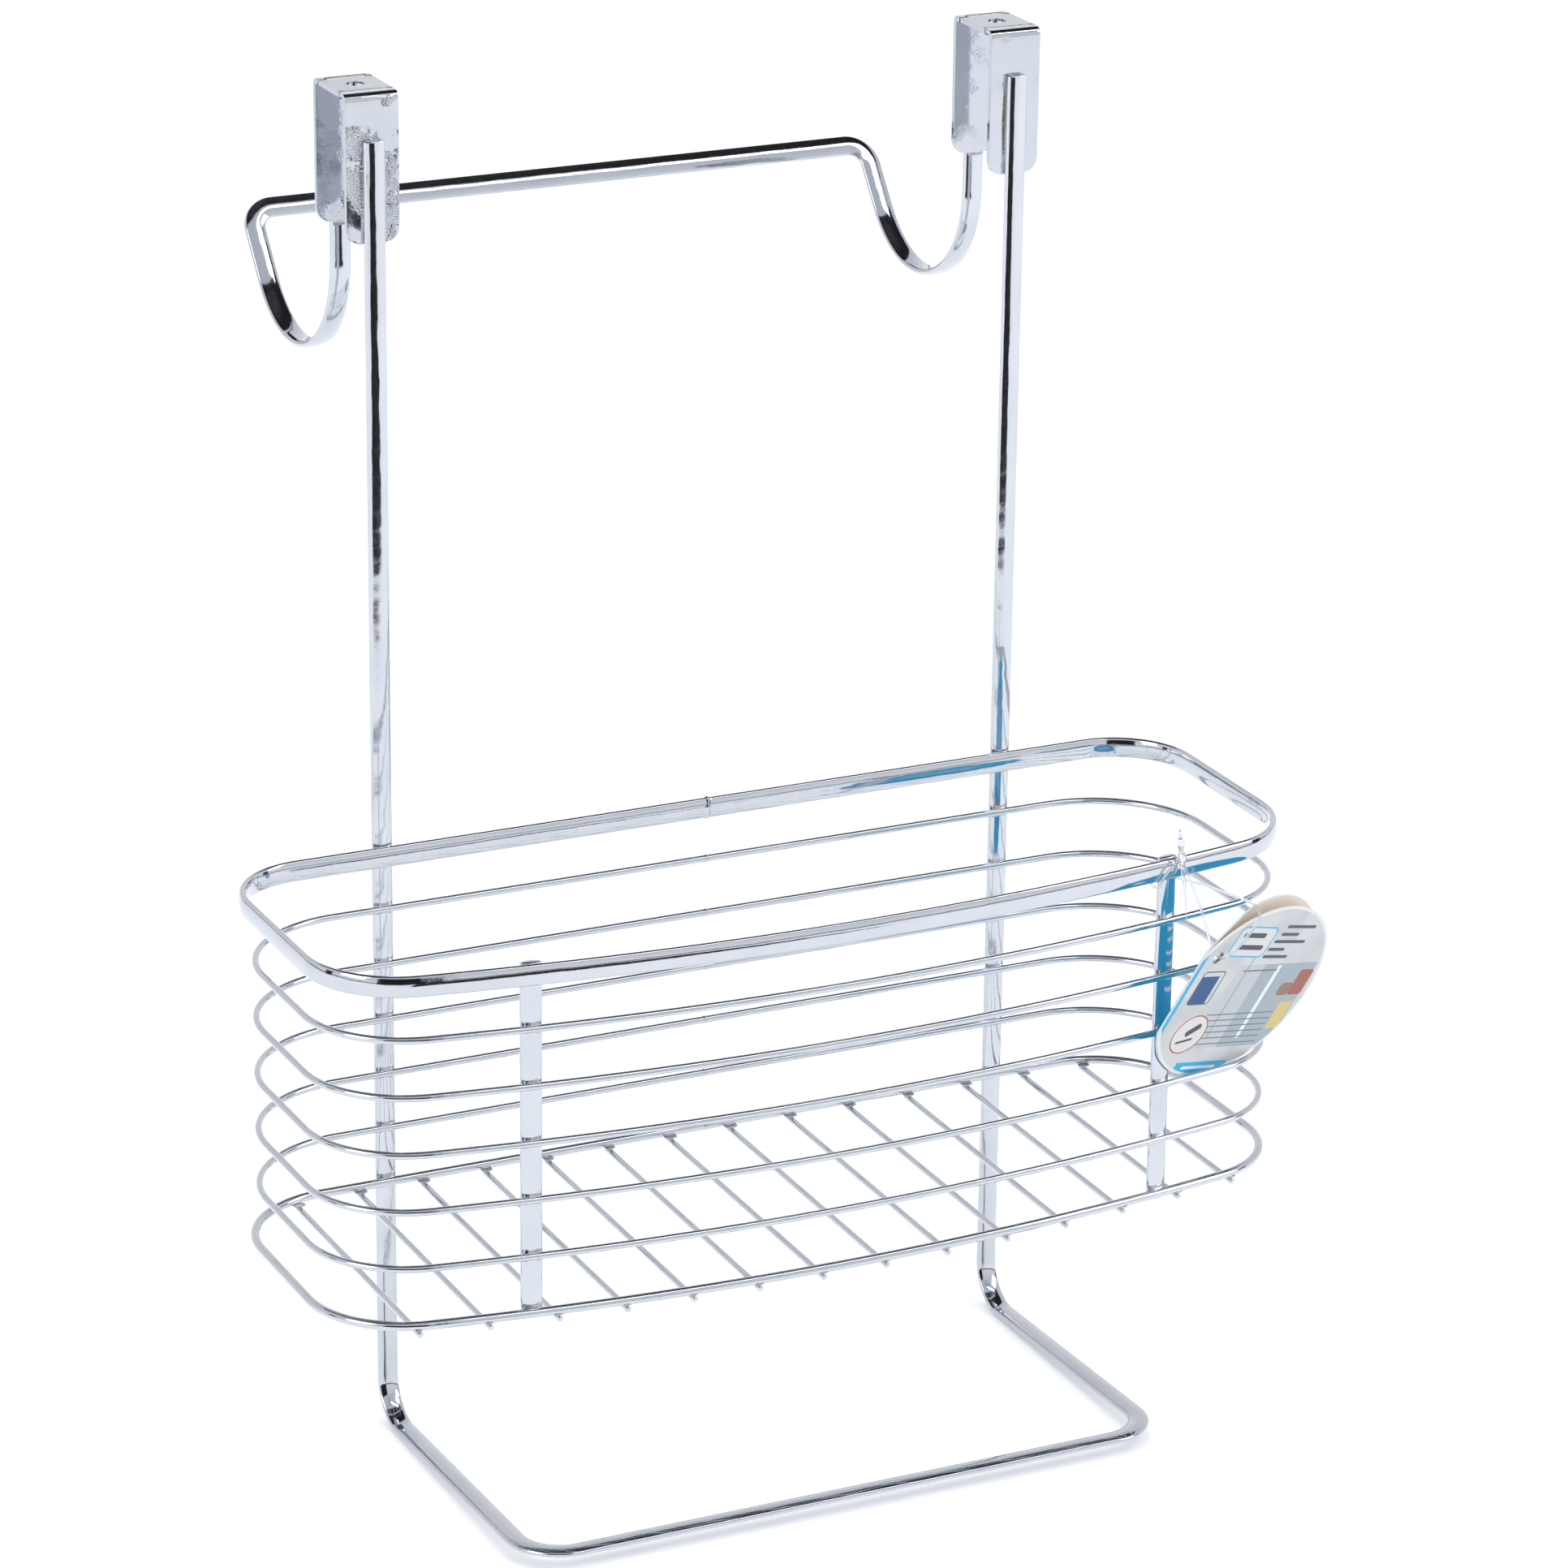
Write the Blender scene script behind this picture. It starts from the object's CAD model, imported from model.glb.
"""Shower caddy of chromed strip and wire, with a folded hang tag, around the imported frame."""
import math
import random

import bpy
from mathutils import Matrix, Vector, noise


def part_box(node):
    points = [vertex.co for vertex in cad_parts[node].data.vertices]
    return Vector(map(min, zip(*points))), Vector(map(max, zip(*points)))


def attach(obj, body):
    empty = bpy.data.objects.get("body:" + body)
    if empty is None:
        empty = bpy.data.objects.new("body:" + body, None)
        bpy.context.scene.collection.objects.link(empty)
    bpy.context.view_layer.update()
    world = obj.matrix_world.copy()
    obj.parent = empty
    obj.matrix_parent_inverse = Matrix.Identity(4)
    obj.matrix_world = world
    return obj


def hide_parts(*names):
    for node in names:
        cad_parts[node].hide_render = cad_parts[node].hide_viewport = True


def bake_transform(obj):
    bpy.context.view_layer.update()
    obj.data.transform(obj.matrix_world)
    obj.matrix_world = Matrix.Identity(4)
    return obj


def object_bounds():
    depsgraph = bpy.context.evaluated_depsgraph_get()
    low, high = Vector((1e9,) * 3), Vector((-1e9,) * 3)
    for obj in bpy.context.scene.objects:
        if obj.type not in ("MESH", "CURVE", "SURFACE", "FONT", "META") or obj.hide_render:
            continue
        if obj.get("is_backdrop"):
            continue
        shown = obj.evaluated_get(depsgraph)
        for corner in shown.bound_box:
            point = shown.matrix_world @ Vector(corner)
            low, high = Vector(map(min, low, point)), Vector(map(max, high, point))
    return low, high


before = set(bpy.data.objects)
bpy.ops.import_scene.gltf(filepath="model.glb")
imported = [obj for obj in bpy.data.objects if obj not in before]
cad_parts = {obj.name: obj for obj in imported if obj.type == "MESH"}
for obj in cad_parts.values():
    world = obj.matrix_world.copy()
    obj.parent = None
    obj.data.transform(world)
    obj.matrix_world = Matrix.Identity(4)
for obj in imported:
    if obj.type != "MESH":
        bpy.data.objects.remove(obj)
cad_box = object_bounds()

MM = 0.001
WELD = 0.2 * MM                  # how far welded pieces are set into each other
STRIP_W, STRIP_T, EDGE_R = 6 * MM, 2.4 * MM, 0.8 * MM
CAP = 0.25 * MM                  # chamfer at a cut end
RUN_GAP, BEND_GAP, BEND_TURN = 12 * MM, 9 * MM, 4     # longest steps of a bar; turn in degrees
SEAM_REACH, SEAM_STEP, SEAM_STEPS = 1.5 * MM, 0.125 * MM, 24   # closer steps about a butt weld
scene = bpy.context.scene
scene.view_settings.view_transform = "Standard"


# ---------------------------------------------------------------- camera
CAMERA_AT = (-0.6645, -1.4451, 0.3791)
CAMERA_BEARING, CAMERA_PITCH, CAMERA_ROLL = -25.76, 20.28, 0.764     # degrees
SENSOR_MM, LENS_MM = 36, 138.27
CLIP_NEAR, CLIP_FAR = 0.05, 50


def add_camera():
    """The photograph's viewpoint, as fitted to the picture."""
    bearing, height = math.radians(CAMERA_BEARING), math.radians(CAMERA_PITCH)
    roll = math.radians(CAMERA_ROLL)
    toward = Vector((-math.sin(bearing) * math.cos(height),
                     math.cos(bearing) * math.cos(height), -math.sin(height)))
    side = Vector((math.cos(bearing), math.sin(bearing), 0))
    up = side.cross(toward)
    right = math.cos(roll) * side + math.sin(roll) * up
    top = math.cos(roll) * up - math.sin(roll) * side
    data = bpy.data.cameras.new("camera")
    data.sensor_width, data.lens = SENSOR_MM, LENS_MM
    data.clip_start, data.clip_end = CLIP_NEAR, CLIP_FAR
    camera = bpy.data.objects.new("camera", data)
    turn = Matrix((right, top, -toward)).transposed()
    camera.matrix_world = Matrix.Translation(CAMERA_AT) @ turn.to_4x4()
    scene.collection.objects.link(camera)
    scene.camera = camera


add_camera()


# ---------------------------------------------------------------- node helpers
def new_material(name):
    """A material with an empty tree but for its output and a principled shader."""
    material = bpy.data.materials.new(name)
    material.use_nodes = True
    tree = material.node_tree
    shader = next(n for n in tree.nodes if n.type == "BSDF_PRINCIPLED")
    return material, tree, shader


def link(tree, source, target):
    tree.links.new(source, target)


def noise_node(tree, vector, scale, detail=3.0, rough=0.5):
    node = tree.nodes.new("ShaderNodeTexNoise")
    node.inputs["Scale"].default_value = scale
    node.inputs["Detail"].default_value = detail
    node.inputs["Roughness"].default_value = rough
    link(tree, vector, node.inputs["Vector"])
    return node.outputs["Fac"]


def mapped(tree, value, from_low, from_high, to_low, to_high):
    node = tree.nodes.new("ShaderNodeMapRange")
    link(tree, value, node.inputs["Value"])
    for name, number in (("From Min", from_low), ("From Max", from_high),
                         ("To Min", to_low), ("To Max", to_high)):
        node.inputs[name].default_value = number
    return node.outputs["Result"]


def mixed(tree, factor, first, second):
    """A colour mix; first and second are colours or sockets."""
    node = tree.nodes.new("ShaderNodeMix")
    node.data_type = "RGBA"
    link(tree, factor, node.inputs["Factor"])
    for socket, value in ((node.inputs[6], first), (node.inputs[7], second)):
        if isinstance(value, tuple):
            socket.default_value = (*value, 1)
        else:
            link(tree, value, socket)
    return node.outputs[2]


def maths(tree, operation, first, second=None, third=None):
    node = tree.nodes.new("ShaderNodeMath")
    node.operation = operation
    for socket, value in zip(node.inputs, (first, second, third)):
        if value is None:
            continue
        if isinstance(value, (int, float)):
            socket.default_value = value
        else:
            link(tree, value, socket)
    return node.outputs[0]


def bump(tree, height, distance, strength=1.0, normal=None):
    node = tree.nodes.new("ShaderNodeBump")
    node.inputs["Distance"].default_value = distance
    node.inputs["Strength"].default_value = strength
    link(tree, height, node.inputs["Height"])
    if normal is not None:
        link(tree, normal, node.inputs["Normal"])
    return node.outputs["Normal"]


def object_coordinates(tree):
    return tree.nodes.new("ShaderNodeTexCoord").outputs["Object"]


# ---------------------------------------------------------------- materials
POLISH_SCALE, GRAIN_SCALE, GRAIN_DEPTH = 60, 900, 0.012 * MM
PIT_SCALE, PIT_PATCH_SCALE = 2600, 110
FACE_EDGE, REST_OF_SHEET = 0.3 * MM, 0.16    # where the ripple fades, and its share elsewhere


def chrome(name, tint, deep_tint, rough, ripple, ripple_scale, pits=0.0, face_y=None):
    """Bright plating: two close tints, uneven polish, a slow ripple and fine pitting.

    With face_y, ripple and pitting stay on the sheet's front face, in front of that Y.
    """
    material, tree, shader = new_material(name)
    place = object_coordinates(tree)
    slow = noise_node(tree, place, POLISH_SCALE, 4)
    fine = noise_node(tree, place, GRAIN_SCALE, 5, 0.65)
    link(tree, mixed(tree, mapped(tree, slow, 0.35, 0.65, 0, 1), tint, deep_tint),
         shader.inputs["Base Color"])
    link(tree, mapped(tree, fine, 0.35, 0.7, rough * 0.7, rough * 1.6), shader.inputs["Roughness"])
    shader.inputs["Metallic"].default_value = 1.0
    swell = noise_node(tree, place, ripple_scale, 2)
    if face_y is not None:
        split = tree.nodes.new("ShaderNodeSeparateXYZ")
        link(tree, place, split.inputs[0])
        front = mapped(tree, split.outputs[1], face_y, face_y - FACE_EDGE, REST_OF_SHEET, 1)
        swell = maths(tree, "MULTIPLY", maths(tree, "SUBTRACT", swell, 0.5), front)
    waves = bump(tree, swell, ripple)
    skin = bump(tree, fine, GRAIN_DEPTH, 0.5, waves)
    if pits:
        speckle = tree.nodes.new("ShaderNodeTexVoronoi")
        speckle.inputs["Scale"].default_value = PIT_SCALE
        link(tree, place, speckle.inputs["Vector"])
        patch = mapped(tree, noise_node(tree, place, PIT_PATCH_SCALE, 3, 0.6), 0.5, 0.62, 0, 1)
        if face_y is not None:
            patch = maths(tree, "MULTIPLY", patch, front)
        height = maths(tree, "MULTIPLY", speckle.outputs["Distance"], patch)
        skin = bump(tree, height, pits, 1.0, skin)
    link(tree, skin, shader.inputs["Normal"])
    return material


STRIP_CHROME = chrome("chrome_strip", (0.60, 0.62, 0.66), (0.56, 0.585, 0.63),
                      rough=0.075, ripple=0.22 * MM, ripple_scale=70)
WIRE_CHROME = chrome("chrome_wire_plating", (0.61, 0.63, 0.66), (0.57, 0.59, 0.63),
                     rough=0.085, ripple=0.12 * MM, ripple_scale=120)
RIPPLED_SHEET = chrome("chrome_sheet_rippled", (0.58, 0.60, 0.64), (0.52, 0.54, 0.59),
                       rough=0.06, ripple=1.1 * MM, ripple_scale=38, pits=0.16 * MM,
                       face_y=-11.1 * MM)
SMOOTH_SHEET = chrome("chrome_sheet_smooth", (0.57, 0.59, 0.63), (0.54, 0.56, 0.61),
                      rough=0.06, ripple=0.22 * MM, ripple_scale=30, pits=0.03 * MM)


def weld_metal():
    """Plated weld metal: lumpy, duller, with a faint brown heat tint."""
    material, tree, shader = new_material("chrome_weld")
    place = object_coordinates(tree)
    slow = noise_node(tree, place, 420, 4, 0.6)
    link(tree, mixed(tree, mapped(tree, slow, 0.42, 0.62, 0, 1), (0.55, 0.57, 0.60),
                     (0.47, 0.44, 0.41)), shader.inputs["Base Color"])
    link(tree, mapped(tree, slow, 0.3, 0.7, 0.12, 0.32), shader.inputs["Roughness"])
    shader.inputs["Metallic"].default_value = 1.0
    lumps = bump(tree, noise_node(tree, place, 1300, 3), 0.12 * MM)
    link(tree, lumps, shader.inputs["Normal"])
    return material


WELD_METAL = weld_metal()


def clear_plastic():
    """Milky clear moulded plastic."""
    material, tree, shader = new_material("plastic_clear")
    place = object_coordinates(tree)
    cloud = noise_node(tree, place, 350, 3)
    link(tree, mixed(tree, cloud, (0.93, 0.95, 0.97), (0.84, 0.87, 0.90)),
         shader.inputs["Base Color"])
    link(tree, mapped(tree, cloud, 0.3, 0.7, 0.08, 0.22), shader.inputs["Roughness"])
    shader.inputs["Transmission Weight"].default_value = 0.85
    shader.inputs["IOR"].default_value = 1.47
    link(tree, bump(tree, noise_node(tree, place, 1500, 2), 0.04 * MM), shader.inputs["Normal"])
    return material


CLEAR_PLASTIC = clear_plastic()


# ---------------------------------------------------------------- meshes
def piece_from(name, vertices, faces, material, smooth=True):
    mesh = bpy.data.meshes.new(name)
    mesh.from_pydata([tuple(v) for v in vertices], [], faces)
    mesh.validate()
    mesh.update()
    if smooth:
        mesh.polygons.foreach_set("use_smooth", [True] * len(mesh.polygons))
    mesh.materials.append(material)
    piece = bpy.data.objects.new(name, mesh)
    scene.collection.objects.link(piece)
    return piece


def modifier(piece, kind, **settings):
    added = piece.modifiers.new(kind.lower(), kind)
    for key, value in settings.items():
        setattr(added, key, value)


def skin(rings, sides, closed=False):
    """Faces between successive rings of vertices."""
    faces = []
    for i in range(rings if closed else rings - 1):
        a, b = i * sides, (i + 1) % rings * sides
        faces += [(a + k, a + (k + 1) % sides, b + (k + 1) % sides, b + k) for k in range(sides)]
    return faces


def open_edges(faces):
    """Directed edges that no other face runs back along."""
    edges = dict.fromkeys((a, b) for f in faces for a, b in zip(f, f[1:] + f[:1]))
    return [(a, b) for a, b in edges if (b, a) not in edges]


def arc(centre, r, start, end, steps):
    """Points of an arc, without its last one."""
    return [(centre[0] + r * math.cos(start + (end - start) * i / steps),
             centre[1] + r * math.sin(start + (end - start) * i / steps)) for i in range(steps)]


def strip_section():
    """Flat-oval section: two broad crowned faces between two rounded edges."""
    edge_x = STRIP_W / 2 - EDGE_R
    broad_r = (edge_x ** 2 + (STRIP_T / 2) ** 2 - EDGE_R ** 2) / (STRIP_T - 2 * EDGE_R)
    broad = math.asin(edge_x / (broad_r - EDGE_R))
    up, back = math.pi / 2, math.pi
    return (arc((0, STRIP_T / 2 - broad_r), broad_r, up - broad, up + broad, 16)
            + arc((-edge_x, 0), EDGE_R, up + broad, back + up - broad, 8)
            + arc((0, broad_r - STRIP_T / 2), broad_r, back + up - broad, back + up + broad, 16)
            + arc((edge_x, 0), EDGE_R, back + up + broad, 2 * back + up - broad, 8))


def wire_section(diameter, sides=20):
    return arc((0, 0), diameter / 2, 0, 2 * math.pi, sides)


class Bar:
    """A bar laid stretch by stretch along its own +Z. It keeps a place every few millimetres."""

    def __init__(self, start):
        self.place, self.travel = start.copy(), 0.0
        self.places = [(self.place.copy(), 0.0)]

    def step(self, move, length):
        self.place = self.place @ move
        self.travel += length
        self.places.append((self.place.copy(), self.travel))

    def run(self, length, seam=None):
        """A straight; seam is how far along it a butt weld lies, which needs closer places."""
        if seam is not None:
            self.run(seam - SEAM_REACH)
            for _ in range(SEAM_STEPS):
                self.step(Matrix.Translation((0, 0, SEAM_STEP)), SEAM_STEP)
            return self.run(length - seam - SEAM_REACH)
        steps = max(1, round(length / RUN_GAP))
        for _ in range(steps):
            self.step(Matrix.Translation((0, 0, length / steps)), length / steps)
        return self

    def bend(self, r, angle, centre, axis, sign):
        steps = max(8, round(angle / BEND_TURN), round(math.radians(angle) * r / BEND_GAP))
        turn = Matrix.Rotation(sign * math.radians(angle) / steps, 4, axis)
        move = Matrix.Translation(centre) @ turn @ Matrix.Translation(-centre)
        for _ in range(steps):
            self.step(move, math.radians(angle) * r / steps)
        return self

    def curl(self, r, angle):
        """A bend over the broad face, turning the travel towards -Y."""
        return self.bend(r, angle, Vector((0, -r, 0)), "X", 1)

    def swerve(self, r, angle):
        """A bend on edge, turning the travel towards -X."""
        return self.bend(r, angle, Vector((-r, 0, 0)), "Y", -1)


BEAD, BEAD_W = 0.15, 0.6                      # swelling about a butt weld, in shares and mm
GROOVE, GROOVE_AT, GROOVE_W = 0.36, 0.25, 0.17   # the dark groove beside its middle


def swept(name, bar, section, material, closed=False, seam=None):
    """The bar's skin: one ring of the section at each place. Open ends are cut and chamfered."""
    n, vertices = len(section), []
    places = bar.places[:-1] if closed else list(bar.places)
    rings = [(place, travel, 1.0) for place, travel in places]
    if not closed:
        inset = 1 - CAP / (STRIP_T / 2)
        first, last = rings[0], rings[-1]
        shift = [Matrix.Translation((0, 0, CAP * far)) for far in (1, 1.4, 3)]
        rings = ([(first[0], first[1], inset)]
                 + [(first[0] @ ease, first[1], 1.0) for ease in shift] + rings[1:-1]
                 + [(last[0] @ ease.inverted(), last[1], 1.0) for ease in reversed(shift)]
                 + [(last[0], last[1], inset)])
    for place, travel, fullness in rings:
        if seam is not None:
            away = (travel - seam) / MM
            fullness += (BEAD * math.exp(-(away / BEAD_W) ** 2)
                         - GROOVE * math.exp(-((away - GROOVE_AT) / GROOVE_W) ** 2))
        vertices += [place @ Vector((x * fullness, y * fullness, 0)) for x, y in section]
    count = len(rings)
    faces = skin(count, n, closed)
    if not closed:
        for ring, turn in ((0, -1), (count - 1, 1)):
            centre = len(vertices)
            vertices.append(rings[ring][0].translation)
            for k in range(n):
                pair = (ring * n + k, ring * n + (k + 1) % n)
                faces.append((*(pair if turn > 0 else pair[::-1]), centre))
    return piece_from(name, vertices, faces, material)


def turned(degrees, axis):
    return Matrix.Rotation(math.radians(degrees), 4, axis)


def finish_piece(piece, slot, *nodes, body="caddy"):
    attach(piece, body)
    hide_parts(*nodes)
    return piece


STRIP = strip_section()

# ---------------------------------------------------------------- front frame and rear rail
low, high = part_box("front_frame")
frame_x = (high.x - low.x - STRIP_W) / 2
frame_y = high.y - STRIP_T / 2
frame_top, frame_low = high.z, low.z + STRIP_T / 2
FRAME_BEND, RAIL_CORNER, RAIL_SLOPE = 12 * MM, 13.5 * MM, 2
rail_reach = 117 * MM
reach = rail_reach + frame_y - FRAME_BEND * (1 + math.sin(math.radians(RAIL_SLOPE)))
rail_side = reach / math.cos(math.radians(RAIL_SLOPE)) - RAIL_CORNER
upright = frame_top - frame_low - FRAME_BEND
bar = Bar(Matrix.Translation((-frame_x, frame_y, frame_top)) @ turned(180, "Y"))
bar.run(upright).curl(FRAME_BEND, 90 + RAIL_SLOPE).run(rail_side).swerve(RAIL_CORNER, 90)
bar.run(2 * (frame_x - RAIL_CORNER)).swerve(RAIL_CORNER, 90).run(rail_side)
bar.curl(FRAME_BEND, 90 + RAIL_SLOPE).run(upright)
finish_piece(swept("front_frame_bar", bar, STRIP, STRIP_CHROME), "chrome", "front_frame")

low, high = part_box("rear_rail")
HOOK_R, HOOK_TURN, RISER, REAR_CORNER = 31 * MM, 141.5, 14 * MM, 6.5 * MM
rear_y = low.y + STRIP_T / 2
hook_low = low.z + STRIP_T / 2
drop = frame_top - hook_low - HOOK_R
bar = Bar(Matrix.Translation((frame_x, rear_y, frame_top)) @ turned(180, "X"))
bar.run(drop).curl(HOOK_R, HOOK_TURN).run(RISER).swerve(REAR_CORNER, 90)
bar.run(2 * (frame_x - REAR_CORNER)).swerve(REAR_CORNER, 90).run(RISER)
bar.curl(HOOK_R, HOOK_TURN).run(drop)
finish_piece(swept("rear_rail_bar", bar, STRIP, STRIP_CHROME), "chrome", "rear_rail")


# ---------------------------------------------------------------- basket
BOW_R = 700 * MM
RIM_CORNERS, RING_CORNERS, BASE_CORNERS = (      # front and back corners
    (26.5 * MM, 22 * MM), (29 * MM, 32.5 * MM), (28 * MM, 28 * MM))
RING_D, BASE_D = 2 * MM, 2.6 * MM
rim_low, rim_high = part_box("basket_rim")
inner_half = rim_high.x - STRIP_T
basket_reach = -rim_low.y - STRIP_T
basket_back = frame_y - STRIP_T / 2
SEAM_X = 2 * MM                  # butt welds lie just right of the middle of each back run


def basket_loop(name, level, depth, front_r, back_r, section, material, slot, node):
    """One closed bar of the basket with its butt weld behind."""
    half = inner_half + depth / 2
    back = basket_back - depth / 2 + WELD
    bow_y = BOW_R - basket_reach - depth / 2
    front_x = half - front_r
    front_y = bow_y - math.sqrt((BOW_R - front_r) ** 2 - front_x ** 2)
    bow = math.degrees(math.asin(front_x / (BOW_R - front_r)))
    back_x = half - back_r
    side = back - back_r - front_y
    loop = Bar(Matrix.Translation((-back_x, back, level)) @ turned(90, "Y"))
    seam = back_x + SEAM_X
    loop.run(2 * back_x, seam).curl(back_r, 90).run(side).curl(front_r, 90 - bow)
    loop.curl(BOW_R, 2 * bow).curl(front_r, 90 - bow).run(side).curl(back_r, 90)
    piece = swept(name, loop, section, material, closed=True, seam=seam)
    return finish_piece(piece, slot, node)


def middle(node, axis):
    box_low, box_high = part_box(node)
    return (box_low[axis] + box_high[axis]) / 2


rim_z = middle("basket_rim", 2)
basket_loop("basket_rim_bar", rim_z, STRIP_T, *RIM_CORNERS, STRIP, STRIP_CHROME,
            "chrome", "basket_rim")
RING_NODES = [f"basket_ring_{i}" for i in range(1, 6)]
for node in RING_NODES:
    basket_loop(node.replace("basket_", "wire_"), middle(node, 2), RING_D, *RING_CORNERS,
                wire_section(RING_D), WIRE_CHROME, "chrome_wire", node)
base_z = middle("base_ring", 2)
basket_loop("wire_base_ring", base_z, BASE_D, *BASE_CORNERS, wire_section(BASE_D, 24),
            WIRE_CHROME, "chrome_wire", "base_ring")

FLOOR_NODES = [f"floor_wire_{i:02d}" for i in range(1, 15)]
for node in FLOOR_NODES:
    low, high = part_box(node)
    floor_d = high.x - low.x
    wire = Bar(Matrix.Translation((middle(node, 0), high.y, middle(node, 2))) @ turned(90, "X"))
    wire.run(high.y - low.y)
    finish_piece(swept(node.replace("floor_wire", "cross_wire"), wire, wire_section(floor_d, 16),
                       WIRE_CHROME), "chrome_wire", node)

posts = []
for node in ("front_post_left", "front_post_right"):
    low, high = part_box(node)
    x = middle(node, 0)
    lean = math.asin(x / BOW_R)
    centre = Vector((x, middle(node, 1), low.z))
    posts.append((centre, lean))
    post = Bar(Matrix.Translation(centre) @ Matrix.Rotation(lean, 4, "Z"))
    post.run(high.z - low.z)
    finish_piece(swept(node + "_bar", post, STRIP, STRIP_CHROME), "chrome", node)


# ---------------------------------------------------------------- brackets
BACK_LEG = 38 * MM
SHEET_R, SHEET_CORNER, SCREW_HOLE_R = 2 * MM, 4 * MM, 2.5 * MM
HOLE_COLUMNS, HOLE_RINGS, HOLE_CROWDING = 12, 6, 1.4      # faces about the hole
BEND_ROWS, LEG_ROWS, CORNER_ROWS = 8, 16, 8


def bracket_place(x, s, depth, sheet_t, leg_face, flat):
    """Where a point of the unfolded sheet goes: s along it from the middle, depth inwards."""
    way, s = (1, s) if s >= 0 else (-1, -s)
    out_r = leg_face - flat
    bend_length = (out_r - sheet_t / 2) * math.pi / 2
    if s <= flat:
        return Vector((x, way * s, sheet_t - depth))
    if s < flat + bend_length:
        angle = (s - flat) / bend_length * math.pi / 2
        r = out_r - depth
        rise = sheet_t - out_r + r * math.cos(angle)
        return Vector((x, way * (flat + r * math.sin(angle)), rise))
    return Vector((x, way * (leg_face - depth), sheet_t - out_r - (s - flat - bend_length)))


def bracket(node, material):
    """The folded sheet: a ring of faces round the hole, then rows down both legs."""
    low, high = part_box(node)
    half, sheet_t, leg_face = (high.x - low.x) / 2, high.z, high.y
    x_mid, flat, corner = (low.x + high.x) / 2, high.y - SHEET_R, SHEET_CORNER
    out_r = leg_face - flat
    bend_length = (out_r - sheet_t / 2) * math.pi / 2
    columns, rings, outline = HOLE_COLUMNS, HOLE_RINGS, []
    for k in range(4 * columns):
        side, t = divmod(k, columns)
        u = -1 + 2 * t / columns
        outline.append([(u, -1), (1, u), (-u, 1), (-1, -u)][side])
    grid, faces = [], []
    for ring in range(rings + 1):
        share = (ring / rings) ** HOLE_CROWDING
        for a, b in outline:
            angle = math.atan2(b, a)
            round_x, round_y = SCREW_HOLE_R * math.cos(angle), SCREW_HOLE_R * math.sin(angle)
            grid.append((round_x + (a * half - round_x) * share,
                         round_y + (b * half - round_y) * share))
    n = len(outline)
    for ring in range(rings):
        for k in range(n):
            a, b = ring * n + k, ring * n + (k + 1) % n
            faces.append((a, b, b + n, a + n))
    outer = rings * n
    for way, first in ((-1, 0), (1, 2 * columns)):
        edge = [outer + (first + c) % n for c in range(columns + 1)]
        if way > 0:
            edge.reverse()
        leg_end = abs(low.z) if way < 0 else BACK_LEG
        straight = leg_end - (out_r - sheet_t)
        stops = [flat + bend_length * i / BEND_ROWS for i in range(BEND_ROWS + 1)]
        start = flat + bend_length
        stops += [start + (straight - corner) * i / LEG_ROWS for i in range(1, LEG_ROWS + 1)]
        stops += [start + straight - corner + corner * math.sin(math.pi / 2 * i / CORNER_ROWS)
                  for i in range(1, CORNER_ROWS + 1)]
        for s in stops:
            over = max(0.0, s - (start + straight - corner))
            width = half - corner + math.sqrt(max(corner ** 2 - over ** 2, 0))
            row = []
            for c in range(columns + 1):
                row.append(len(grid))
                grid.append((width * (-1 + 2 * c / columns), way * s))
            for c in range(columns):
                quad = (edge[c], edge[c + 1], row[c + 1], row[c])
                faces.append(quad if way > 0 else quad[::-1])
            edge = row
    vertices = []
    for depth in (0.0, sheet_t):
        for x, s in grid:
            place = bracket_place(x, s, depth, sheet_t, leg_face, flat)
            vertices.append(place + Vector((x_mid, 0, 0)))
    shift = len(grid)
    solid = [tuple(f) for f in faces] + [tuple(i + shift for i in reversed(f)) for f in faces]
    solid += [(b, a, a + shift, b + shift) for a, b in open_edges(faces)]
    piece = piece_from(node + "_sheet", vertices, solid, material)
    modifier(piece, "BEVEL", width=0.3 * MM, segments=3, limit_method="ANGLE",
             angle_limit=math.radians(50))
    modifier(piece, "WEIGHTED_NORMAL", keep_sharp=True)
    return finish_piece(piece, "chromed_sheet", node)


bracket("bracket_left", RIPPLED_SHEET)
bracket("bracket_right", SMOOTH_SHEET)


# ---------------------------------------------------------------- welds
SET_IN = 0.1 * MM                # how far a fillet's middle lies inside the strip
FILLET_ROWS, FILLET_COLUMNS = 10, 12
LUMP, LUMP_SCALE = 0.09 * MM, 2.2
rng = random.Random(11)
weld_vertices, weld_faces = [], []


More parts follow.
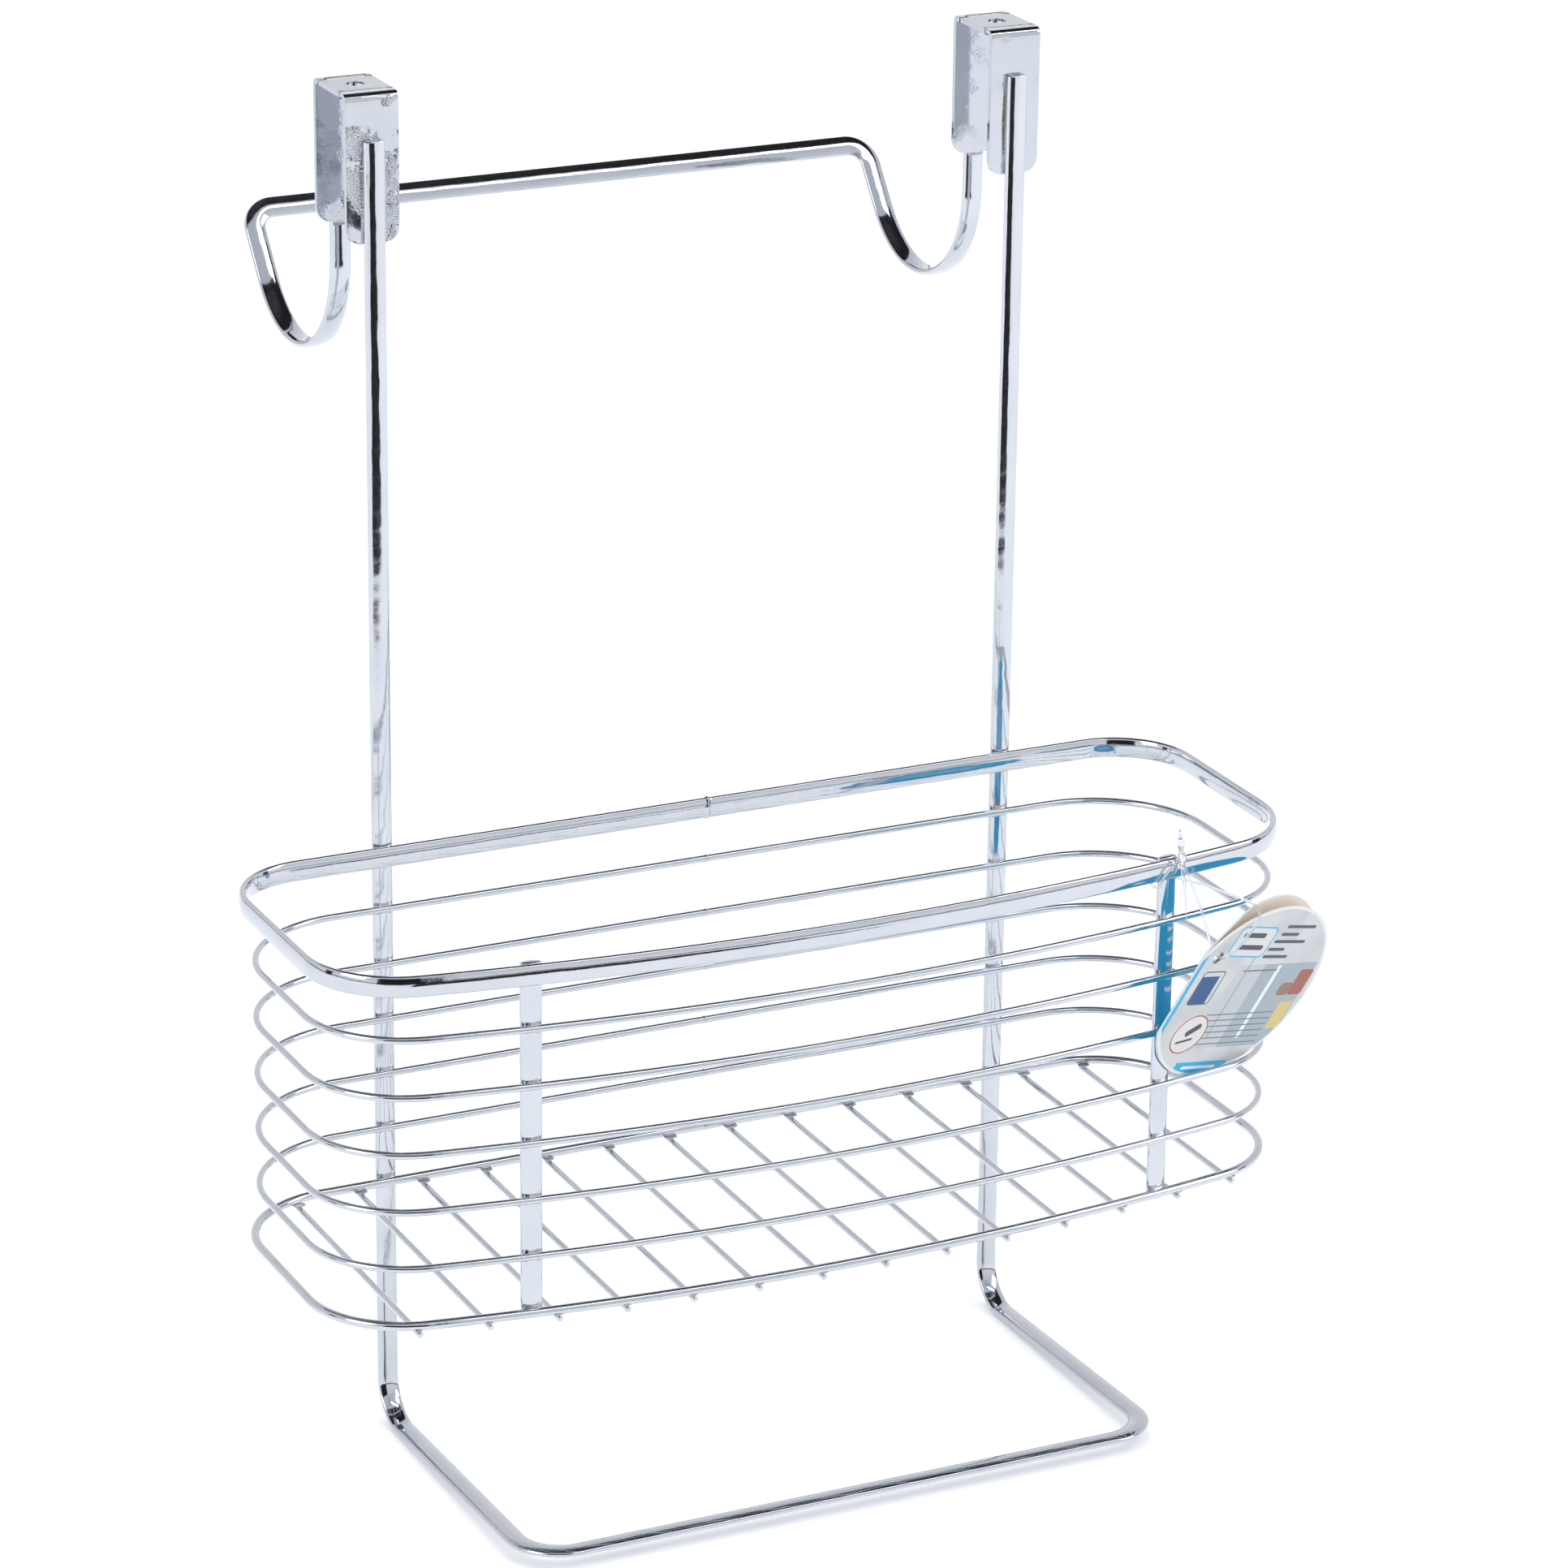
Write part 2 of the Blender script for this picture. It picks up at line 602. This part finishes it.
def fillet(centre, along, normal, half_l, half_w, height, sink=0.35 * MM):
    """A small mound of weld metal, hollow-sided, about a crossing."""
    along, normal = Vector(along).normalized(), Vector(normal).normalized()
    across = along.cross(normal)
    rows, columns, first = FILLET_ROWS, FILLET_COLUMNS, len(weld_vertices)
    seed = Vector((rng.random() * 90, rng.random() * 90, rng.random() * 90))
    half_l, half_w = half_l * rng.uniform(0.88, 1.12), half_w * rng.uniform(0.85, 1.15)
    for side in (1, 0):
        for i in range(rows + 1):
            u = -1 + 2 * i / rows
            for j in range(columns + 1):
                v = -1 + 2 * j / columns
                fade = math.sqrt(max(0, 1 - u ** 4))
                rise = height * fade * (1 - abs(v)) ** 1.3
                rough = LUMP * noise.noise(Vector((u, v, 0)) * LUMP_SCALE + seed)
                lift = (rise + rough * fade * (1 - abs(v))) if side else 0.0
                spread = half_w * (0.55 + 0.45 * math.sqrt(max(0, 1 - u * u)))
                weld_vertices.append(Vector(centre) + along * half_l * u + across * spread * v
                                     + normal * (lift - sink * (1 if side == 0 else 0.25)))
    row, sheet = columns + 1, (rows + 1) * (columns + 1)
    quads = [(i * row + j, i * row + j + 1, (i + 1) * row + j + 1, (i + 1) * row + j)
             for i in range(rows) for j in range(columns)]
    skirt = [(b, a, a + sheet, b + sheet) for a, b in open_edges(quads)]
    for f in quads + [tuple(i + sheet for i in reversed(q)) for q in quads] + skirt:
        weld_faces.append(tuple(first + i for i in f))


def flush_welds(name):
    """Makes one piece of the fillets laid since the last call."""
    piece = piece_from(name, weld_vertices, weld_faces, WELD_METAL)
    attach(piece, "caddy")
    weld_vertices.clear()
    weld_faces.clear()


levels = ([(rim_z, STRIP_W / 2, STRIP_T)] + [(middle(n, 2), RING_D / 2, RING_D) for n in RING_NODES]
          + [(base_z, BASE_D / 2, BASE_D)])
for x in (-frame_x, frame_x):
    for z, half_h, depth in levels:
        if depth == STRIP_T:
            for edge in (-1, 1):
                fillet((x, basket_back + SET_IN, z + edge * 1.6 * MM), (1, 0, 0), (0, -1, 0),
                       half_l=2.0 * MM, half_w=1.5 * MM, height=0.75 * MM)
        else:
            fillet((x, basket_back + SET_IN, z), (1, 0, 0), (0, -1, 0),
                   half_l=2.3 * MM, half_w=half_h + 1.0 * MM, height=0.85 * MM)
flush_welds("welds_uprights")
for centre, lean in posts:
    out = Vector((math.sin(lean), -math.cos(lean), 0))
    along = Vector((math.cos(lean), math.sin(lean), 0))
    for z, half_h, depth in levels:
        spot = Vector((centre.x, centre.y, z)) + out * (STRIP_T / 2 - SET_IN)
        if depth == STRIP_T:
            fillet(spot - Vector((0, 0, 1.2 * MM)), along, out,
                   half_l=1.6 * MM, half_w=1.6 * MM, height=0.3 * MM)
        else:
            fillet(spot, along, out, half_l=2.3 * MM, half_w=half_h + 0.9 * MM, height=0.8 * MM)
flush_welds("welds_posts")
for node in FLOOR_NODES:
    low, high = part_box(node)
    x = middle(node, 0)
    for y, way in ((low.y, 1), (high.y, -1)):
        spot = (x, y + way * (BASE_D / 2 + WELD), base_z - BASE_D / 2 + 0.25 * MM)
        fillet(spot, (0, 1, 0), (0, 0, -1), half_l=1.15 * MM, half_w=1.7 * MM, height=0.75 * MM)
flush_welds("welds_floor")
for x, y, way in ((-frame_x, frame_y, -1), (frame_x, frame_y, -1), (-frame_x, rear_y, 1),
                  (frame_x, rear_y, 1)):
    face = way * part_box("bracket_left")[1].y
    bottom = -BACK_LEG
    fillet((x, face, (frame_top + bottom) / 2), (0, 0, 1), (0, way, 0),
           half_l=(frame_top - bottom) / 2, half_w=4.0 * MM, height=1.5 * MM)
flush_welds("welds_brackets")

# ---------------------------------------------------------------- hang tag
TAG_AT = Vector((95.2, -122.25, -242.6)) * MM
TAG = (Matrix.Translation(TAG_AT) @ turned(14.4, "Z") @ turned(90 + 22.4, "X")
       @ turned(-15.1, "Z"))
TAG_D, TAG_FOLD, LEAF_T, LEAF_SPREAD = 60 * MM, 26.5 * MM, 0.4 * MM, 3
HOLE_AT, HOLE_R = (6 * MM, 12.5 * MM), 2 * MM


INK_EDGE = 0.06                  # softness of a printed edge, in millimetres


class Print:
    """Flat printed shapes on the card, drawn in its own millimetres from the fold."""

    def __init__(self, tree):
        self.tree = tree
        place = tree.nodes.new("ShaderNodeSeparateXYZ")
        link(tree, object_coordinates(tree), place.inputs[0])
        self.x, self.y, self.z = (maths(tree, "MULTIPLY", socket, 1 / MM)
                                  for socket in place.outputs)

    def length(self, a, b):
        return maths(self.tree, "SQRT", maths(self.tree, "MULTIPLY_ADD", a, a,
                                              maths(self.tree, "MULTIPLY", b, b)))

    def turned(self, cx, cy, degrees):
        """Coordinates about a centre, turned."""
        c, s = math.cos(math.radians(degrees)), math.sin(math.radians(degrees))
        dx, dy = maths(self.tree, "SUBTRACT", self.x, cx), maths(self.tree, "SUBTRACT", self.y, cy)
        along = maths(self.tree, "MULTIPLY_ADD", dx, c, maths(self.tree, "MULTIPLY", dy, s))
        over = maths(self.tree, "MULTIPLY_ADD", dy, c, maths(self.tree, "MULTIPLY", dx, -s))
        return along, over

    def box(self, cx, cy, w, h, degrees=0, r=0.0):
        """Distance outside a box with rounded corners, in millimetres."""
        along, over = self.turned(cx, cy, degrees)
        a = maths(self.tree, "SUBTRACT", maths(self.tree, "ABSOLUTE", along), w / 2 - r)
        b = maths(self.tree, "SUBTRACT", maths(self.tree, "ABSOLUTE", over), h / 2 - r)
        a0, b0 = maths(self.tree, "MAXIMUM", a, 0.0), maths(self.tree, "MAXIMUM", b, 0.0)
        outside = self.length(a0, b0)
        inside = maths(self.tree, "MINIMUM", maths(self.tree, "MAXIMUM", a, b), 0.0)
        return maths(self.tree, "SUBTRACT", maths(self.tree, "ADD", outside, inside), r)

    def disc(self, cx, cy, r):
        dx, dy = maths(self.tree, "SUBTRACT", self.x, cx), maths(self.tree, "SUBTRACT", self.y, cy)
        return maths(self.tree, "SUBTRACT", self.length(dx, dy), r)

    def filled(self, distance):
        return mapped(self.tree, distance, INK_EDGE, -INK_EDGE, 0, 1)

    def line(self, distance, width):
        edge = maths(self.tree, "SUBTRACT", maths(self.tree, "ABSOLUTE", distance), width / 2)
        return self.filled(edge)


INK_DEPTH = 0.88                 # how far every ink on the card is toned down
BORDER_R = 29.0                  # the print ends this far from the card's middle, in millimetres
CYAN, BAR_INK = (0.02, 0.40, 0.70), (0.05, 0.06, 0.09)


def card_material():
    """Satin coated card: generic printed panels, no lettering, and uncoated tan inside."""
    material, tree, shader = new_material("card_printed")
    draw = Print(tree)
    fibre = noise_node(tree, object_coordinates(tree), 1600, 5, 0.7)
    cloud = noise_node(tree, object_coordinates(tree), 70, 2)
    white = mixed(tree, fibre, (0.53, 0.54, 0.555), (0.57, 0.58, 0.59))
    shade = mapped(tree, cloud, 0.45, 0.6, 0, 0.55)
    ink = mixed(tree, shade, white, (0.41, 0.44, 0.465))
    blend = [
        # picture panel with a rack in front of a pale wall
        (draw.filled(draw.box(36, -5.2, 34, 29.5)), (0.36, 0.42, 0.46)),
        (draw.filled(draw.box(24, -5.2, 11, 29.5)), (0.52, 0.55, 0.58)),
        (draw.filled(draw.box(36.5, -4, 1.6, 26)), (0.80, 0.83, 0.85)),
        (draw.filled(draw.box(38.4, -4, 0.5, 26)), (0.30, 0.38, 0.44)),
        (draw.filled(draw.box(50.5, 2.5, 6, 9, 0, 1)), (0.36, 0.11, 0.09)),
        (draw.filled(draw.box(45, 0.2, 5.5, 4.5, 0, 1.5)), (0.30, 0.17, 0.13)),
        (draw.filled(draw.box(49.6, -9.3, 5.6, 9.6, 0, 0.6)), (0.66, 0.52, 0.20)),
        (draw.line(draw.box(28.5, 7.4, 15, 0.1), 0.35), (0.12, 0.13, 0.15)),
        (draw.line(draw.box(22.5, 1, 0.1, 34), 0.3), (0.25, 0.27, 0.30)),
    ]
    for i in range(6):
        blend.append((draw.line(draw.box(31.5, -8 - 2.1 * i, 29, 0.1), 0.3), (0.16, 0.18, 0.21)))
    blend += [
        # heading panel with a rounded blue outline and two plain bars
        (draw.filled(draw.box(17.3, 17.8, 16.2, 10.2, -3, 2)), (0.68, 0.69, 0.70)),
        (draw.line(draw.box(17.3, 17.8, 16.2, 10.2, -3, 2), 0.55), (0.10, 0.42, 0.68)),
        (draw.filled(draw.box(16.6, 20.1, 10, 1.7, -3, 0.7)), BAR_INK),
        (draw.filled(draw.box(17.2, 15.9, 12, 1.7, -3, 0.7)), BAR_INK),
        # dark blue rectangle and the outline of a hook over it
        (draw.filled(draw.box(8.2, 1.2, 7.4, 9.6)), (0.008, 0.075, 0.22)),
        (draw.line(draw.box(8.9, 1.9, 9.3, 11.4, 0, 1.2), 0.4), (0.03, 0.06, 0.12)),
        # ring mark
        (draw.filled(draw.disc(13.8, -14.7, 6.6)), (0.70, 0.70, 0.70)),
        (draw.line(draw.disc(13.8, -14.7, 6.6), 0.45), (0.42, 0.08, 0.07)),
        (draw.filled(draw.box(14.6, -13.2, 6.0, 2.2, 35, 0.9)), (0.06, 0.06, 0.07)),
        (draw.filled(draw.box(13.2, -17.0, 6.6, 0.9, 12, 0.4)), (0.10, 0.07, 0.07)),
        # cyan label along the lower edge and the cyan edge of the fold
        (draw.filled(draw.box(27.5, -27, 22.5, 4, 0, 0.2)), CYAN),
        (draw.filled(draw.box(27.0, -27, 15, 1.1, 0, 0.5)), (0.70, 0.82, 0.90)),
        (draw.filled(draw.box(0, 0, 2.6, 60)), CYAN),
    ]
    for i, (cx, width) in enumerate(((35.5, 13), (32.5, 8), (34.5, 14), (30.8, 7.5), (32.5, 11))):
        blend.append((draw.filled(draw.box(cx - 0.3 * i, 22.6 - 2.6 * i, width, 1.1, -2, 0.5)),
                      (0.07, 0.08, 0.11)))
    for mask, colour in blend:
        ink = mixed(tree, mask, ink, tuple(INK_DEPTH * c for c in colour))
    border = draw.filled(draw.disc(TAG_FOLD / MM, 0, BORDER_R))
    ink = mixed(tree, border, (0.67, 0.68, 0.69), ink)
    tan = mixed(tree, fibre, (0.62, 0.53, 0.44), (0.70, 0.61, 0.52))
    outer = mapped(tree, draw.z, 0.3, 0.36, 0, 1)
    link(tree, mixed(tree, outer, tan, ink), shader.inputs["Base Color"])
    link(tree, mapped(tree, fibre, 0.3, 0.7, 0.30, 0.48), shader.inputs["Roughness"])
    shader.inputs["Coat Weight"].default_value = 0.08
    shader.inputs["Coat Roughness"].default_value = 0.25
    shader.inputs["Specular IOR Level"].default_value = 0.25
    link(tree, bump(tree, fibre, 0.00003, 0.6), shader.inputs["Normal"])
    return material


def back_material():
    """The card's other leaf: cyan outside with plain white bars, tan inside."""
    material, tree, shader = new_material("card_back")
    draw = Print(tree)
    fibre = noise_node(tree, object_coordinates(tree), 1600, 5, 0.7)
    ink = mixed(tree, fibre, (0.02, 0.40, 0.70), (0.03, 0.47, 0.78))
    for i in range(7):
        bar_mask = draw.filled(draw.box(28, 14 - 3.4 * i, 30 - 2 * (i % 3), 1.0, 0, 0.4))
        ink = mixed(tree, bar_mask, ink, (0.80, 0.84, 0.88))
    tan = mixed(tree, fibre, (0.84, 0.77, 0.69), (0.90, 0.84, 0.77))
    inside = tree.nodes.new("ShaderNodeAttribute")
    inside.attribute_name = "inside"
    link(tree, mixed(tree, inside.outputs["Fac"], ink, tan), shader.inputs["Base Color"])
    link(tree, mapped(tree, fibre, 0.3, 0.7, 0.42, 0.62), shader.inputs["Roughness"])
    link(tree, bump(tree, fibre, 0.00004, 0.7), shader.inputs["Normal"])
    return material


LEAF_RINGS, LEAF_SIDES, LEAF_CROWDING = 14, 96, 0.8


def leaf(name, material, surface):
    """One leaf of the card: a disc cut off at the fold, with its hole, bent by surface(x, y)."""
    rings, around = LEAF_RINGS, LEAF_SIDES
    half = math.sqrt((TAG_D / 2) ** 2 - TAG_FOLD ** 2)
    outline = []
    for k in range(around):
        angle = 2 * math.pi * (k + 0.5) / around
        direction = Vector((math.cos(angle), math.sin(angle)))
        # from the hole's centre out to the card's edge
        ox, oy = HOLE_AT[0] - TAG_FOLD, HOLE_AT[1]
        b = ox * direction.x + oy * direction.y
        reach_out = -b + math.sqrt(b * b - (ox * ox + oy * oy - (TAG_D / 2) ** 2))
        if direction.x < 0:
            reach_out = min(reach_out, HOLE_AT[0] / -direction.x)
        outline.append((direction, reach_out))
    corner_targets = [Vector((0, s * half)) - Vector(HOLE_AT) for s in (-1, 1)]
    for target in corner_targets:
        spot = min(range(around), key=lambda k: outline[k][0].angle(target))
        outline[spot] = (target.normalized(), target.length)
    vertices, faces, inner = [], [], []
    for side in (1, 0):
        for ring in range(rings + 1):
            share = (ring / rings) ** LEAF_CROWDING
            for direction, reach_out in outline:
                spot = Vector(HOLE_AT) + direction * (HOLE_R + (reach_out - HOLE_R) * share)
                x, y = max(spot.x, 0.0), spot.y
                place, normal = surface(x, y)
                vertices.append(place + normal * (LEAF_T if side else 0.0))
                inner.append(0.0 if side else 1.0)
    sheet = (rings + 1) * around
    for ring in range(rings):
        for k in range(around):
            a, b = ring * around + k, ring * around + (k + 1) % around
            faces.append((a, a + around, b + around, b))
            faces.append((sheet + a, sheet + b, sheet + b + around, sheet + a + around))
    for ring, turn in ((0, 1), (rings, -1)):
        for k in range(around):
            a, b = ring * around + k, ring * around + (k + 1) % around
            quad = (a, b, b + sheet, a + sheet)
            faces.append(quad if turn > 0 else quad[::-1])
    piece = piece_from(name, vertices, faces, material)
    attribute = piece.data.attributes.new("inside", "FLOAT", "POINT")
    attribute.data.foreach_set("value", inner)
    piece.matrix_world = TAG
    modifier(piece, "EDGE_SPLIT", split_angle=math.radians(40))
    return piece


def front_surface(x, y):
    return Vector((x, y, 0)), Vector((0, 0, 1))


FLARE_FROM, FLARE, FLARE_FADE = -4 * MM, 2.6, 12 * MM


def back_surface(x, y):
    """Opened behind the front leaf, and a little further towards its upper edge."""
    spread = math.radians(LEAF_SPREAD)
    flare = FLARE * max(0.0, y - FLARE_FROM) ** 2 * min(1, x / FLARE_FADE)
    out = Vector((x * math.cos(spread), y, -x * math.sin(spread) - flare))
    return out, Vector((-math.sin(spread), 0, -math.cos(spread)))


front_leaf = leaf("card_front_leaf", card_material(), front_surface)
finish_piece(front_leaf, "card", "hang_tag", body="tag")
back_leaf = leaf("card_back_leaf", back_material(), back_surface)
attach(back_leaf, "tag")

# ---------------------------------------------------------------- tag lock and loop
LOCK_TOP, LOCK_END = Vector((99.2, -110.7, -199)) * MM, Vector((101.8, -112, -226.5)) * MM
LOCK_SIDES, LOCK_STEP = 20, 0.6
HEAD_END, HEAD_FLAT, LOCK_POINT = 7, 0.72, 27.5   # the head is flattened; millimetres along it
LOCK_PROFILE = [(0, 0), (0.9, 1.6), (0.6, 2.4), (1.6, 4.2), (1.1, 6.2), (0.8, 7), (1.3, 8),
                (1.3, 9.2), (0.8, 10.2), (0.6, 12), (0.15, 27.4)]


def tag_lock():
    """The arrow head, bulb, collar and needle, turned about one line and softened."""
    line = LOCK_END - LOCK_TOP
    place = Matrix.Translation(LOCK_TOP) @ line.to_track_quat("Z", "Y").to_matrix().to_4x4()
    sides, vertices, dense = LOCK_SIDES, [], []
    for (r0, z0), (r1, z1) in zip(LOCK_PROFILE, LOCK_PROFILE[1:]):
        steps = max(2, round((z1 - z0) / LOCK_STEP))
        for i in range(steps):
            t = i / steps
            ease = t * t * (3 - 2 * t)
            dense.append((r0 + (r1 - r0) * ease, z0 + (z1 - z0) * t))
    dense.append(LOCK_PROFILE[-1])
    for r, z in dense[1:]:
        flat = HEAD_FLAT if z < HEAD_END else 1.0
        vertices += [place @ (Vector((r * math.cos(a), flat * r * math.sin(a), z)) * MM)
                     for a in (2 * math.pi * k / sides for k in range(sides))]
    count = len(dense) - 1
    faces = skin(count, sides)
    tip, point = len(vertices), len(vertices) + 1
    vertices += [LOCK_TOP, place @ Vector((0, 0, LOCK_POINT * MM))]
    for k in range(sides):
        faces.append((tip, (k + 1) % sides, k))
        last = (count - 1) * sides
        faces.append((last + k, last + (k + 1) % sides, point))
    return piece_from("lock_head", vertices, faces, CLEAR_PLASTIC)


lock = finish_piece(tag_lock(), "clear_plastic", "tag_lock")

LOOP_D, LOOP_SIDES, LOOP_STEPS = 0.8 * MM, 12, 6
LOOP_ROUTE = [Vector(p) * MM for p in (
    (99.5, -111, -208), (96.8, -111.3, -209.8), (94.5, -111.2, -212.5), (93.8, -110.6, -215),
    (93.4, -108.5, -216), (93.6, -105.8, -216), (95.2, -103.9, -216), (98, -103.4, -216),
    (101.2, -103.7, -216), (103.6, -105.6, -216.2), (106, -108.5, -216.5), (109, -111, -217.3),
    (112.5, -114.5, -218.6), (115.5, -119, -219.4), (116.7, -123.6, -219.9),
    (115.7, -127.2, -222), (112, -128, -226), (108.5, -127.5, -229.9), (105.8, -125.8, -232.4),
    (104.6, -123.8, -232), (104.1, -121.6, -230.1), (104.2, -119, -226.5), (104, -116, -222),
    (103, -113.5, -217), (101.8, -112.2, -213), (100.9, -111.6, -210.2))]


def smooth_route(route, steps):
    """A smooth curve through every point of the route."""
    points = []
    for i in range((len(route) - 1) * steps + 1):
        k = min(i // steps, len(route) - 2)
        t = i / steps - k
        a, b = route[max(k - 1, 0)], route[k]
        c, d = route[k + 1], route[min(k + 2, len(route) - 1)]
        points.append(b + (c - a) * t / 2 + (2 * a - 5 * b + 4 * c - d) * t * t / 2
                      + (3 * b - a - 3 * c + d) * t ** 3 / 2)
    return points


def tube(name, path, diameter, sides, material):
    """A round thread along the path, its section carried along without twist."""
    vertices, side = [], Vector((0, 0, 1))
    for i, point in enumerate(path):
        ahead = (path[min(i + 1, len(path) - 1)] - path[max(i - 1, 0)]).normalized()
        side = (side - ahead * side.dot(ahead)).normalized()
        other = ahead.cross(side)
        vertices += [point + (side * math.cos(a) + other * math.sin(a)) * diameter / 2
                     for a in (2 * math.pi * k / sides for k in range(sides))]
    faces = skin(len(path), sides)
    faces.append(tuple(reversed(range(sides))))
    faces.append(tuple((len(path) - 1) * sides + k for k in range(sides)))
    return piece_from(name, vertices, faces, material)


loop_path = smooth_route(LOOP_ROUTE, LOOP_STEPS)
loop = tube("thread_loop", loop_path, LOOP_D, LOOP_SIDES, CLEAR_PLASTIC)
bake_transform(loop)
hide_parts("tag_loop")


# ---------------------------------------------------------------- floor, cards and lights
def plain_material(name, colour, rough, glow=0.0):
    """A stage surface with a faint, slow variation."""
    material, tree, shader = new_material(name)
    cloud = noise_node(tree, object_coordinates(tree), 3, 2)
    darker = tuple(0.985 * c for c in colour)
    link(tree, mixed(tree, cloud, colour, darker), shader.inputs["Base Color"])
    shader.inputs["Roughness"].default_value = rough
    shader.inputs["Specular IOR Level"].default_value = 0.1
    shader.inputs["Emission Color"].default_value = (1, 1, 1, 1)
    shader.inputs["Emission Strength"].default_value = glow
    return material


def stage_sheet(name, corners, material, seen=True):
    piece = piece_from(name, corners, [tuple(range(len(corners)))], material, smooth=False)
    piece.visible_camera = seen
    piece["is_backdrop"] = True
    return piece


FLOOR_GAP, FLOOR_R, FLOOR_SIDES = 0.2 * MM, 6.0, 64
floor_z = cad_box[0].z - FLOOR_GAP
stage_sheet("floor", [(FLOOR_R * math.cos(a), FLOOR_R * math.sin(a), floor_z)
                      for a in (2 * math.pi * k / FLOOR_SIDES for k in range(FLOOR_SIDES))],
            plain_material("floor_pale", (0.94, 0.945, 0.95), 0.9, 0.12))
FLAG_BLACK = plain_material("flag_black", (0.012, 0.011, 0.012), 0.8)


def studio_flag(name, corners, material):
    """A dark studio card; it shows only in reflections."""
    flag = stage_sheet(name, corners, material, seen=False)
    flag.visible_shadow = False
    flag.visible_diffuse = False


def upright_flag(name, bearing, distance, width, bottom, top, material=FLAG_BLACK):
    """A card standing on a circle round the set."""
    away = Vector((math.cos(math.radians(bearing)), math.sin(math.radians(bearing)), 0))
    aside = Vector((-away.y, away.x, 0)) * width / 2
    centre = away * distance
    studio_flag(name, [centre - aside + Vector((0, 0, bottom)),
                       centre + aside + Vector((0, 0, bottom)),
                       centre + aside + Vector((0, 0, top)),
                       centre - aside + Vector((0, 0, top))], material)


def flat_flag(name, x0, x1, y0, y1, z):
    """A card lying level."""
    studio_flag(name, [(x0, y0, z), (x1, y0, z), (x1, y1, z), (x0, y1, z)], FLAG_BLACK)


upright_flag("flag_camera", bearing=-114.7, distance=1.45, width=1.15, bottom=-0.34, top=0.55)
flat_flag("flag_front", -0.25, 0.34, -2.4, -0.72, floor_z + 0.003)
flat_flag("flag_ceiling", -1.2, 1.9, -0.60, 1.75, 1.6)
upright_flag("flag_right", bearing=-20, distance=2.4, width=0.5, bottom=floor_z, top=0.30)
upright_flag("flag_left", bearing=170, distance=2.4, width=0.4, bottom=floor_z, top=0.35)

SKIRTS, SKIRT_R, SKIRT_W, SKIRT_H = 24, 3.2, 0.86, 0.16
SKIRT_GREY = plain_material("flag_grey", (0.10, 0.10, 0.11), 0.8)
for k in range(SKIRTS):
    upright_flag(f"skirt_{k:02d}", 360 / SKIRTS * k, SKIRT_R, SKIRT_W, floor_z, floor_z + SKIRT_H,
                 SKIRT_GREY)


def area_light(name, place, target, width, height, power, colour):
    data = bpy.data.lights.new(name, "AREA")
    data.shape, data.size, data.size_y = "RECTANGLE", width, height
    data.energy, data.color = power, colour
    lamp = bpy.data.objects.new(name, data)
    scene.collection.objects.link(lamp)
    lamp.location = place
    lamp.rotation_mode = "QUATERNION"
    lamp.rotation_quaternion = (Vector(target) - Vector(place)).to_track_quat("-Z", "Y")


TARGET = (0, -0.05, -0.2)
WARM, COOL = (1.0, 0.99, 0.97), (0.97, 0.985, 1.0)
area_light("softbox_left", (-2.2, -0.7, 0.9), TARGET, 1.1, 1.5, power=16, colour=WARM)
area_light("softbox_right", (1.9, -1.3, 1.0), TARGET, 0.9, 1.4, power=13, colour=COOL)
area_light("softbox_high", (0.62, -0.80, 1.30), TARGET, 1.3, 0.22, power=3, colour=WARM)
area_light("softbox_top", (0.1, 0.2, 2.4), TARGET, 1.6, 1.6, power=20, colour=(1.0, 1.0, 1.0))


def studio_world():
    """A white studio: bright walls that fall off a little overhead."""
    world = bpy.data.worlds.new("studio")
    scene.world = world
    world.use_nodes = True
    tree = world.node_tree
    back = next(n for n in tree.nodes if n.type == "BACKGROUND")
    place = tree.nodes.new("ShaderNodeTexCoord")
    split = tree.nodes.new("ShaderNodeSeparateXYZ")
    link(tree, place.outputs["Generated"], split.inputs[0])
    height = mapped(tree, split.outputs[2], 0.0, 0.9, 0, 1)
    link(tree, mixed(tree, height, (1.0, 1.0, 1.0), (0.62, 0.66, 0.72)), back.inputs["Color"])
    back.inputs["Strength"].default_value = 1.0


studio_world()

low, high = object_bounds()
